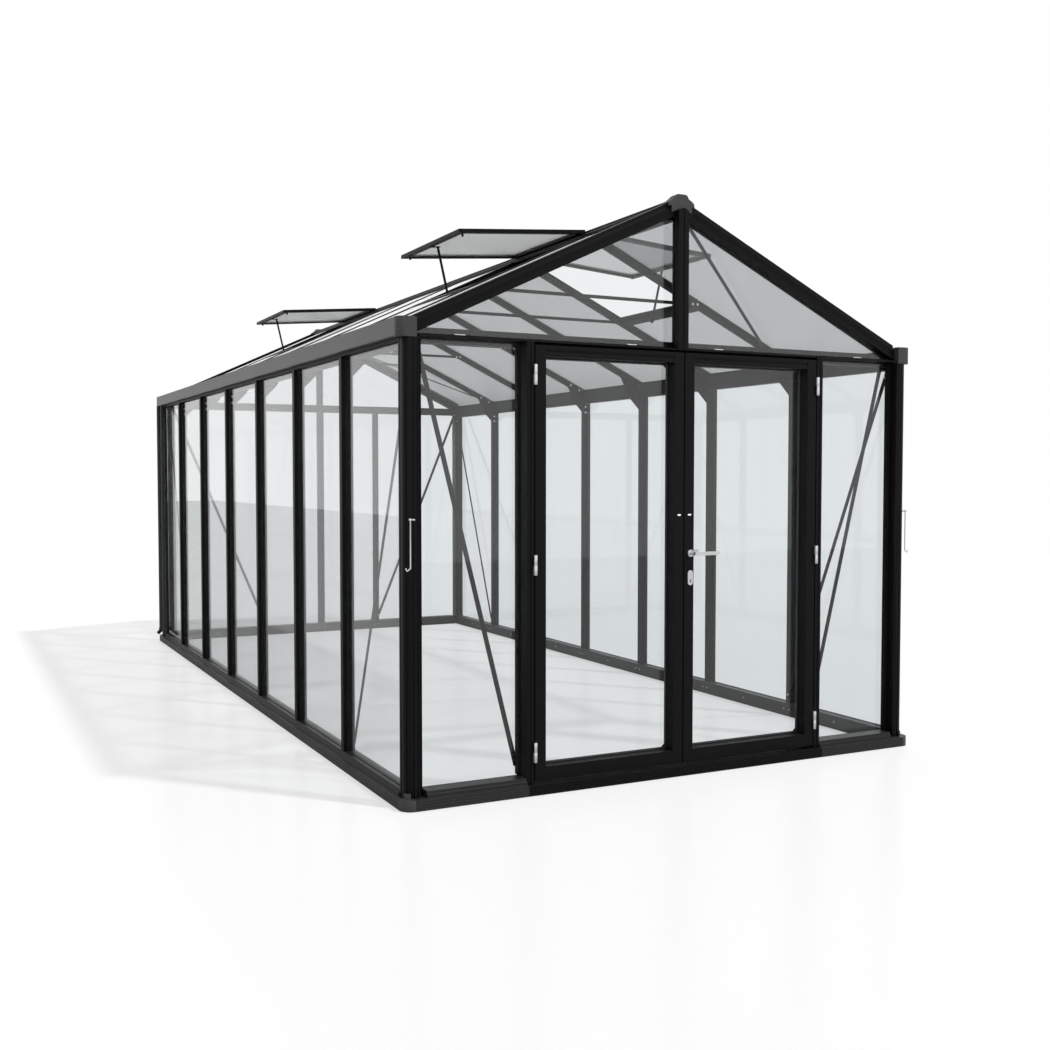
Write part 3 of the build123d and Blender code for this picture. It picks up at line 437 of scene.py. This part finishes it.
def door_trim():
    for side, hand in zip(SIDES, ("right", "left")):
        bead = around_leaf_pane(side, -LEAF_GLASS + LEAF_GLASS_THICKNESS, BACKWARDS, *BEAD)
        seal = around_leaf_pane(side, -LEAF_GLASS, FORWARDS, *LEAF_SEAL)
        bead.place("door_bead_" + hand, bead_plastic, "door_" + hand, "grey_plastic")
        seal.place("door_seal_" + hand, seal_rubber, "door_" + hand, "black_frame")


# Ledges along the rakes' faces

RAKE_FACE = 2.597
RAKE_LEDGE_DROPS = (0.027, 0.036, 0.048)
RAKE_LEDGE_ENDS = (0.06, 1.19)
RAKE_LEDGE = (0.0024, 0.0018)


def rake_ledges():
    ledges = Fitting()
    upper, lower = RAKE_LEDGE_ENDS
    for gable in SIDES:
        y = gable * RAKE_FACE
        for side in SIDES:
            for drop in RAKE_LEDGE_DROPS:
                ledges.strip((side * upper, y, roof(upper, drop)), (side * lower, y, roof(lower, drop)),
                             UPWARDS, (0.0, gable, 0.0), *RAKE_LEDGE)
    ledges.place("rake_ledges", black_coat, "root", "black_frame")


# Catches under the free bar of each vent sash, one near either end

SASH_BAYS = ((1.0, -1.0), (-1.0, -1.0), (-1.0, 1.0))  # side of the roof, and end of it
CATCH_X = 0.655
CATCH_LINES = (1.152, 1.808)
SASH_UNDERSIDE = 2.3704
CATCH_SINK = 0.001  # how far a catch reaches into the sash
CATCH_PROFILE = [(0.0055, 0.0), (0.0055, 0.010), (0.0040, 0.013)]


def vent_catches():
    catches = Fitting()
    for side, end in SASH_BAYS:
        for y in CATCH_LINES:
            top = (side * CATCH_X, end * y, SASH_UNDERSIDE + CATCH_SINK)
            catches.turned(top, DOWNWARDS, CATCH_PROFILE, sides=16)
    catches.place("vent_catches", pipe_plastic, "root", "black_plastic")


# Bright clips that carry the front gable panes, and keepers on the meeting stiles

GABLE_PANE_FOOT = 1.816
CLIP_LINES = (-1.0, -0.22, 0.22, 1.0)
CLIP_HALF = 0.0225
CLIP = (0.007, 0.004)  # width and height
KEEPER_LINES = {"left": -0.025, "right": 0.027}
KEEPER_HEIGHT = 1.106
KEEPER_HALF = 0.0075
KEEPER = (0.006, 0.002)


def level_plate(fitting, x, y, z, half, size):
    """A plate on a front face, lying level."""
    fitting.strip((x - half, y, z), (x + half, y, z), UPWARDS, FORWARDS, *size)


def gable_pane_clips():
    clips = Fitting()
    for x in CLIP_LINES:
        level_plate(clips, x, -GABLE_GLASS, GABLE_PANE_FOOT, CLIP_HALF, CLIP)
    clips.place("gable_pane_clips", bolt_zinc, "root", "silver_fittings")


def stile_keepers():
    for hand, x in KEEPER_LINES.items():
        keeper = Fitting()
        level_plate(keeper, x, -DOOR_FACE, KEEPER_HEIGHT, KEEPER_HALF, KEEPER)
        keeper.place("stile_keeper_" + hand, bolt_zinc, "door_" + hand, "silver_fittings")


base_rail_screws()
frame_bolts()
glazing_seals()
door_trim()
rake_ledges()
vent_catches()
gable_pane_clips()
stile_keepers()


# Studio

FLOOR_LEFT, FLOOR_RIGHT = -12.65, 13.0
FLOOR_FRONT, FLOOR_BACK = -14.3, 53.5
FLOOR_LEVEL = -0.0015
FLOOR_SEEN = 0.45
FLOOR_BOUNCING = 0.86
FLOOR_MIRRORED = 0.56
FLOOR_LIFT = 0.60
FLOOR_POLISH = 0.06
SKY_LIGHT = 0.55
SKY_SEEN = 1.0
KEY_ENERGY = 1.6
KEY_SPREAD = math.radians(3.0)
KEY_DIRECTION = (-0.93, 1.07, -1.87)
LENS = 40.815
SENSOR = 36.0
CAMERA_PLACE = (-2.852, -6.824, 1.2746)
CAMERA_TILT = math.radians(87.60)
CAMERA_TURN = math.radians(-26.63)


def studio_floor():
    """A pale, faintly glossy floor: white to the camera, a little darker where the panes mirror it."""
    sheet = bmesh.new()
    corners = [(FLOOR_LEFT, FLOOR_FRONT), (FLOOR_RIGHT, FLOOR_FRONT), (FLOOR_RIGHT, FLOOR_BACK),
               (FLOOR_LEFT, FLOOR_BACK)]
    sheet.faces.new([sheet.verts.new((x, y, FLOOR_LEVEL)) for x, y in corners])
    mesh = bpy.data.meshes.new("floor")
    sheet.to_mesh(mesh)
    sheet.free()
    floor = bpy.data.objects.new("floor", mesh)
    bpy.context.scene.collection.objects.link(floor)
    f = Finish("floor_paint")
    seen = f.add("LightPath", out="Is Camera Ray")
    mirrored = f.add("LightPath", out="Is Glossy Ray")
    bounced = f.blend(mirrored, grey(FLOOR_BOUNCING), grey(FLOOR_MIRRORED))
    plain = f.add("BsdfDiffuse", {}, {"Color": f.blend(seen, bounced, grey(FLOOR_SEEN))})
    lift = f.add("Emission", {}, {"Color": grey(1.0), "Strength": seen * FLOOR_LIFT})
    polish = f.add("BsdfGlossy", {}, {"Color": grey(1.0), "Roughness": 0.22})
    lit = f.add("AddShader", {}, {0: plain, 1: lift})
    floor.data.materials.append(f.surface(f.add("MixShader", {}, {"Fac": FLOOR_POLISH, 1: lit, 2: polish})))


def studio_light():
    """An even white sky, dimmer as light than as background, and a sun from the front right."""
    world = bpy.data.worlds.new("studio")
    bpy.context.scene.world = world
    f = Finish("studio", world)
    rays = ("Is Camera Ray", "Is Glossy Ray", "Is Transmission Ray")
    camera, mirror, through = [f.add("LightPath", out=ray) for ray in rays]
    strength = SKY_LIGHT + (camera | mirror | through) * (SKY_SEEN - SKY_LIGHT)
    white = f.add("Background", {}, {"Color": grey(1.0), "Strength": strength})
    f.add("OutputWorld", {}, {"Surface": white})
    key = bpy.data.lights.new("key", "SUN")
    key.energy = KEY_ENERGY
    key.angle = KEY_SPREAD
    lamp = bpy.data.objects.new("key", key)
    lamp.rotation_euler = Vector(KEY_DIRECTION).to_track_quat("-Z", "Y").to_euler()
    bpy.context.scene.collection.objects.link(lamp)


def studio_camera():
    lens = bpy.data.cameras.new("camera")
    lens.lens = LENS
    lens.sensor_width = SENSOR
    lens.clip_end = 200.0
    camera = bpy.data.objects.new("camera", lens)
    camera.location = CAMERA_PLACE
    camera.rotation_euler = (CAMERA_TILT, 0.0, CAMERA_TURN)
    bpy.context.scene.collection.objects.link(camera)
    bpy.context.scene.camera = camera


studio_floor()
studio_light()
studio_camera()
scene = bpy.context.scene
scene.view_settings.view_transform = "Standard"
scene.cycles.transparent_max_bounces = 32
